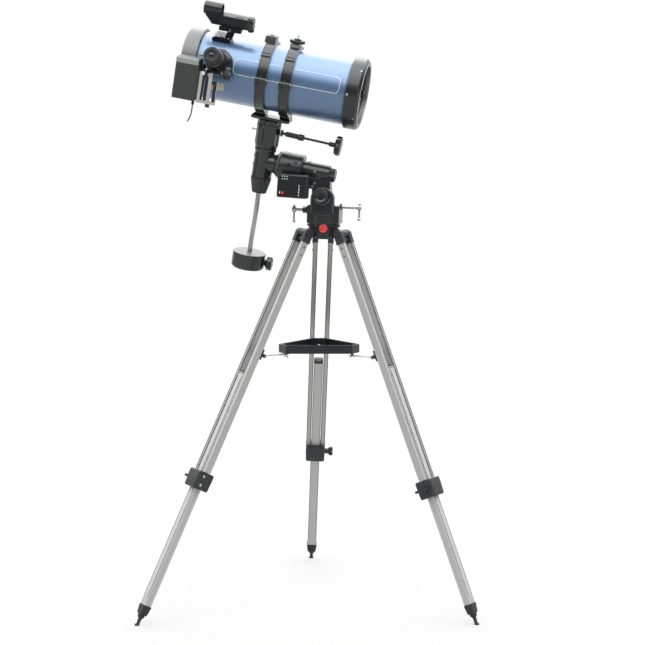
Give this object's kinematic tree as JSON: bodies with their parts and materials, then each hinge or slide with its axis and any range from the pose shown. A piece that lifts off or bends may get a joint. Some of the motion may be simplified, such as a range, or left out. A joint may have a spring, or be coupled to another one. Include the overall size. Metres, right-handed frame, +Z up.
{
  "type": "telescope on tripod",
  "caption": "Short blue reflector telescope on an equatorial mount with drive box and counterweight, on a folding aluminium tripod with tray.",
  "frame": {"origin": "middle of the underside of the whole object's box, on the floor between the feet", "axes": "+Z up; +X from the tube's open front end towards its mirror end, to within the mount's yaw; the eyepiece side faces -Y"},
  "size_m": [0.825, 0.7222, 1.4905],
  "materials": {
    "black_plastic": "moulded black plastic with a fine grain",
    "black_enamel": "black hammered enamel on die-cast aluminium",
    "satin_aluminium": "natural extruded aluminium, satin",
    "chrome": "bright chrome plate",
    "blue_lacquer": "light blue metallic lacquer, glossy",
    "dark_satin": "dark grey satin",
    "tube_ring_black": "black satin paint on cast aluminium",
    "mirror_glass": "polished and aluminised glass",
    "rubber": "black rubber",
    "weight_iron": "black paint on cast iron",
    "box_plastic": "dark grey moulded plastic",
    "steel_strip": "bright steel strip"
  },
  "bodies": {
    "hub": {"tripod_hub": "black_plastic"},
    "tray": {"tray": "black_plastic"},
    "leg_1": {"leg_1_bracket": "black_plastic", "leg_1_left_rail": "satin_aluminium", "leg_1_right_rail": "satin_aluminium", "leg_1_clamp": "black_plastic"},
    "leg_1_extension": {"leg_1_lower": "satin_aluminium", "leg_1_foot": "rubber"},
    "leg_1_lock": {"leg_1_lock_knob": "black_plastic"},
    "leg_1_strut": {"leg_1_brace": "steel_strip"},
    "leg_2": {"leg_2_bracket": "black_plastic", "leg_2_left_rail": "satin_aluminium", "leg_2_right_rail": "satin_aluminium", "leg_2_clamp": "black_plastic"},
    "leg_2_extension": {"leg_2_lower": "satin_aluminium", "leg_2_foot": "rubber"},
    "leg_2_lock": {"leg_2_lock_knob": "black_plastic"},
    "leg_2_strut": {"leg_2_brace": "steel_strip"},
    "leg_3": {"leg_3_bracket": "black_plastic", "leg_3_left_rail": "satin_aluminium", "leg_3_right_rail": "satin_aluminium", "leg_3_clamp": "black_plastic"},
    "leg_3_extension": {"leg_3_lower": "satin_aluminium", "leg_3_foot": "rubber"},
    "leg_3_lock": {"leg_3_lock_knob": "black_plastic"},
    "leg_3_strut": {"leg_3_brace": "steel_strip"},
    "base": {"mount_base": "black_enamel"},
    "latitude_knob": {"latitude_knob": "black_plastic"},
    "left_t_bolt": {"left_t_bolt": "chrome"},
    "right_t_bolt": {"right_t_bolt": "chrome"},
    "polar": {"polar_housing": "black_enamel", "motor_box": "black_plastic"},
    "motor_button": {"motor_button": "box_plastic"},
    "ra": {"dec_housing": "black_enamel", "dec_head": "black_enamel"},
    "slow_control": {"dec_slow_control": "black_plastic"},
    "dec": {"ring_plate": "black_enamel", "tube_ring_1_lower": "tube_ring_black", "tube_ring_2_lower": "tube_ring_black", "counterweight_shaft": "chrome"},
    "counterweight": {"counterweight": "weight_iron"},
    "counterweight_knob": {"counterweight_knob": "black_plastic"},
    "ring_1_upper": {"tube_ring_1_upper": "tube_ring_black"},
    "ring_1_knob": {"tube_ring_1_knob": "black_plastic"},
    "ring_2_upper": {"tube_ring_2_upper": "tube_ring_black"},
    "ring_2_knob": {"tube_ring_2_knob": "black_plastic"},
    "tube": {"main_tube": "blue_lacquer", "front_ring": "dark_satin", "rear_cell": "dark_satin", "primary_mirror": "mirror_glass", "secondary_holder": "dark_satin", "focuser_body": "black_plastic", "finder_bracket": "black_plastic", "red_dot_finder": "black_plastic"},
    "draw_tube": {"draw_tube": "chrome"},
    "focus_knobs": {"focus_knobs": "black_plastic"},
    "eyepiece": {"eyepiece": "rubber"},
    "camera_arm": {"camera_arm": "chrome", "camera_box": "box_plastic", "box_cord": "rubber"}
  },
  "joints": [
    {"name": "leg_1_fold", "type": "hinge", "parent": "hub", "child": "leg_1", "pos_m": [0.0392, -0.05986, 0.9271], "axis": [-0.9993, 0, 0.0361], "range_deg": [0, 23.5]},
    {"name": "leg_1_extend", "type": "slide", "parent": "leg_1", "child": "leg_1_extension", "axis": [-0.033, 0.4083, -0.9122], "range_m": [-0.283, 0.221]},
    {"name": "leg_1_lock_turn", "type": "hinge", "parent": "leg_1", "child": "leg_1_lock", "pos_m": [0.01755, 0.20825, 0.32812], "axis": [-0.9993, 0, 0.0361], "range_deg": [0, 180]},
    {"name": "leg_1_strut_fold", "type": "hinge", "parent": "leg_1", "child": "leg_1_strut", "pos_m": [0.02831, 0.0465, 0.62585], "axis": [1, 0, 0], "range_deg": [0, 113.5]},
    {"name": "leg_2_fold", "type": "hinge", "parent": "hub", "child": "leg_2", "pos_m": [-0.00753, -0.14086, 0.92878], "axis": [0.4997, -0.866, -0.0181], "range_deg": [0, 23.5]},
    {"name": "leg_2_extend", "type": "slide", "parent": "leg_2", "child": "leg_2_extension", "axis": [-0.3864, -0.2042, -0.8995], "range_m": [-0.299, 0.204]},
    {"name": "leg_2_lock_turn", "type": "hinge", "parent": "leg_2", "child": "leg_2_lock", "pos_m": [-0.26122, -0.27492, 0.3382], "axis": [0.4997, -0.866, -0.0181], "range_deg": [0, 180]},
    {"name": "leg_2_strut_fold", "type": "hinge", "parent": "leg_2", "child": "leg_2_strut", "pos_m": [-0.11047, -0.19404, 0.63086], "axis": [-0.5, 0.866, 0], "range_deg": [0, 113.5]},
    {"name": "leg_3_fold", "type": "hinge", "parent": "hub", "child": "leg_3", "pos_m": [0.08594, -0.14086, 0.92541], "axis": [0.4997, 0.866, -0.0181], "range_deg": [0, 23.5]},
    {"name": "leg_3_extend", "type": "slide", "parent": "leg_3", "child": "leg_3_extension", "axis": [0.3204, -0.2042, -0.925], "range_m": [-0.267, 0.237]},
    {"name": "leg_3_lock_turn", "type": "hinge", "parent": "leg_3", "child": "leg_3_lock", "pos_m": [0.29632, -0.27492, 0.31804], "axis": [0.4997, 0.866, -0.0181], "range_deg": [0, 180]},
    {"name": "leg_3_strut_fold", "type": "hinge", "parent": "leg_3", "child": "leg_3_strut", "pos_m": [0.16486, -0.19261, 0.62731], "axis": [-0.5, -0.866, 0], "range_deg": [0, 113.5]},
    {"name": "tray_slide", "type": "slide", "parent": "hub", "child": "tray", "axis": [0, -1, 0], "range_m": [0, 0.35]},
    {"name": "azimuth_turn", "type": "hinge", "parent": "hub", "child": "base", "pos_m": [0.03898, -0.11386, 0.9211], "axis": [0.0361, 0, 0.9993], "continuous": true},
    {"name": "latitude_knob_turn", "type": "hinge", "parent": "base", "child": "latitude_knob", "pos_m": [0.04076, -0.1136, 1.0195], "axis": [-0.1443, -0.9895, 0.0052], "range_deg": [0, 180]},
    {"name": "latitude_tilt", "type": "hinge", "parent": "base", "child": "polar", "pos_m": [0.04076, -0.1136, 1.0195], "axis": [0.1443, 0.9895, -0.0052], "range_deg": [-8, 30]},
    {"name": "left_t_bolt_travel", "type": "slide", "parent": "base", "child": "left_t_bolt", "axis": [-0.9889, 0.1444, 0.0357], "range_m": [-0.0065, 0.0235]},
    {"name": "right_t_bolt_travel", "type": "slide", "parent": "base", "child": "right_t_bolt", "axis": [-0.9889, 0.1444, 0.0357], "range_m": [-0.004, 0.0135]},
    {"name": "motor_button_press", "type": "slide", "parent": "polar", "child": "motor_button", "axis": [0.1443, 0.9895, -0.0052], "range_m": [0, 0.002], "stiffness_N_per_m": 400, "springref_m": -0.0008},
    {"name": "ra_turn", "type": "hinge", "parent": "polar", "child": "ra", "pos_m": [-0.10891, -0.09134, 1.10296], "axis": [0.9714, -0.1426, -0.1899], "range_deg": [-80, 60]},
    {"name": "slow_control_turn", "type": "hinge", "parent": "ra", "child": "slow_control", "pos_m": [-0.06674, -0.11102, 1.17385], "axis": [0.9662, -0.1368, -0.2185], "continuous": true},
    {"name": "dec_turn", "type": "hinge", "parent": "ra", "child": "dec", "pos_m": [-0.10891, -0.09134, 1.10296], "axis": [0.1608, -0.1938, 0.9678], "continuous": true},
    {"name": "counterweight_slide", "type": "slide", "parent": "dec", "child": "counterweight", "axis": [0.1608, -0.1938, 0.9678], "range_m": [0, 0.14]},
    {"name": "counterweight_knob_turn", "type": "hinge", "parent": "counterweight", "child": "counterweight_knob", "pos_m": [-0.14966, -0.04221, 0.85763], "axis": [0.9714, -0.1426, -0.1899], "range_deg": [0, 180]},
    {"name": "ring_1_open", "type": "hinge", "parent": "dec", "child": "ring_1_upper", "pos_m": [-0.11254, -0.21998, 1.29944], "axis": [0.9714, -0.1426, -0.1899], "range_deg": [0, 100]},
    {"name": "ring_1_knob_turn", "type": "hinge", "parent": "ring_1_upper", "child": "ring_1_knob", "pos_m": [-0.08056, -0.03702, 1.32561], "axis": [0.1608, -0.1938, 0.9678], "range_deg": [0, 180]},
    {"name": "ring_2_open", "type": "hinge", "parent": "dec", "child": "ring_2_upper", "pos_m": [-0.05475, -0.22846, 1.28814], "axis": [0.9714, -0.1426, -0.1899], "range_deg": [0, 100]},
    {"name": "ring_2_knob_turn", "type": "hinge", "parent": "ring_2_upper", "child": "ring_2_knob", "pos_m": [-0.02277, -0.0455, 1.31431], "axis": [0.1608, -0.1938, 0.9678], "range_deg": [0, 180]},
    {"name": "tube_roll", "type": "hinge", "parent": "dec", "child": "tube", "pos_m": [-0.07523, -0.13195, 1.30571], "axis": [0.9714, -0.1426, -0.1899], "range_deg": [-60, 30]},
    {"name": "draw_tube_slide", "type": "slide", "parent": "tube", "child": "draw_tube", "axis": [-0.1184, -0.984, 0.1333], "range_m": [-0.0025, 0.035]},
    {"name": "focus_knob_turn", "type": "hinge", "parent": "tube", "child": "focus_knobs", "pos_m": [-0.22168, -0.2213, 1.31878], "axis": [0.9714, -0.1426, -0.1899], "range_deg": [-24.07, 334.53]},
    {"name": "eyepiece_pull", "type": "slide", "parent": "draw_tube", "child": "eyepiece", "axis": [-0.1184, -0.984, 0.1333], "range_m": [0, 0.03]},
    {"name": "camera_arm_swing", "type": "hinge", "parent": "tube", "child": "camera_arm", "pos_m": [-0.22955, -0.26124, 1.30855], "axis": [-0.1748, -0.9706, -0.1654], "range_deg": [0, 60]}
  ],
  "couplings": [
    {"joint": "leg_1_strut_fold", "follows": "leg_1_fold", "ratio": 4.8288},
    {"joint": "leg_2_fold", "follows": "leg_1_fold", "ratio": 1},
    {"joint": "leg_2_strut_fold", "follows": "leg_1_fold", "ratio": 4.8288},
    {"joint": "leg_3_fold", "follows": "leg_1_fold", "ratio": 1},
    {"joint": "leg_3_strut_fold", "follows": "leg_1_fold", "ratio": 4.8288},
    {"joint": "tray_slide", "follows": "leg_1_fold", "m_per_rad": 0.8528},
    {"joint": "left_t_bolt_travel", "follows": "latitude_tilt", "m_per_rad": 0.0442},
    {"joint": "right_t_bolt_travel", "follows": "latitude_tilt", "m_per_rad": 0.025},
    {"joint": "focus_knob_turn", "follows": "draw_tube_slide", "rad_per_m": 166.67}
  ]
}
